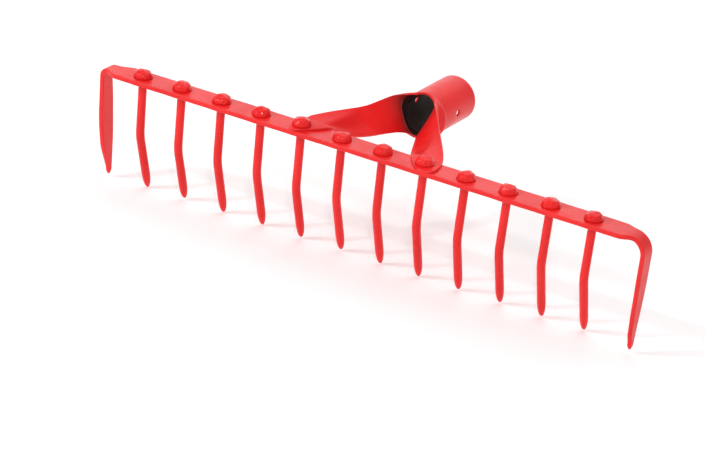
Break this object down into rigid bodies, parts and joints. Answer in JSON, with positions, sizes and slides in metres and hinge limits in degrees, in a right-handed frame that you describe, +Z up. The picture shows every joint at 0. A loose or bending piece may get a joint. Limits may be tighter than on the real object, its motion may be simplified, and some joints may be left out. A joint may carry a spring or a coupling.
{
  "type": "garden rake head",
  "caption": "Riveted garden rake head: flat bar with down-bent end tines, a row of bent round tines, and a two-armed sheet-steel bow socket for a wooden handle.",
  "frame": {"origin": "centre of the handle socket's rear rim, on the socket's axis", "axes": "+X along the bar, +Y along the socket's axis out of its rear rim towards the handle, +Z up, away from the points of the tines"},
  "size_m": [0.413, 0.1354, 0.0973],
  "materials": {
    "red_enamel": "gloss red stoving enamel over steel"
  },
  "bodies": {
    "root": {"head_bar": "red_enamel", "tine_01": "red_enamel", "tine_02": "red_enamel", "tine_03": "red_enamel", "tine_04": "red_enamel", "tine_05": "red_enamel", "tine_06": "red_enamel", "tine_07": "red_enamel", "tine_08": "red_enamel", "tine_09": "red_enamel", "tine_10": "red_enamel", "tine_11": "red_enamel", "tine_12": "red_enamel", "bow_socket": "red_enamel"}
  },
  "joints": []
}
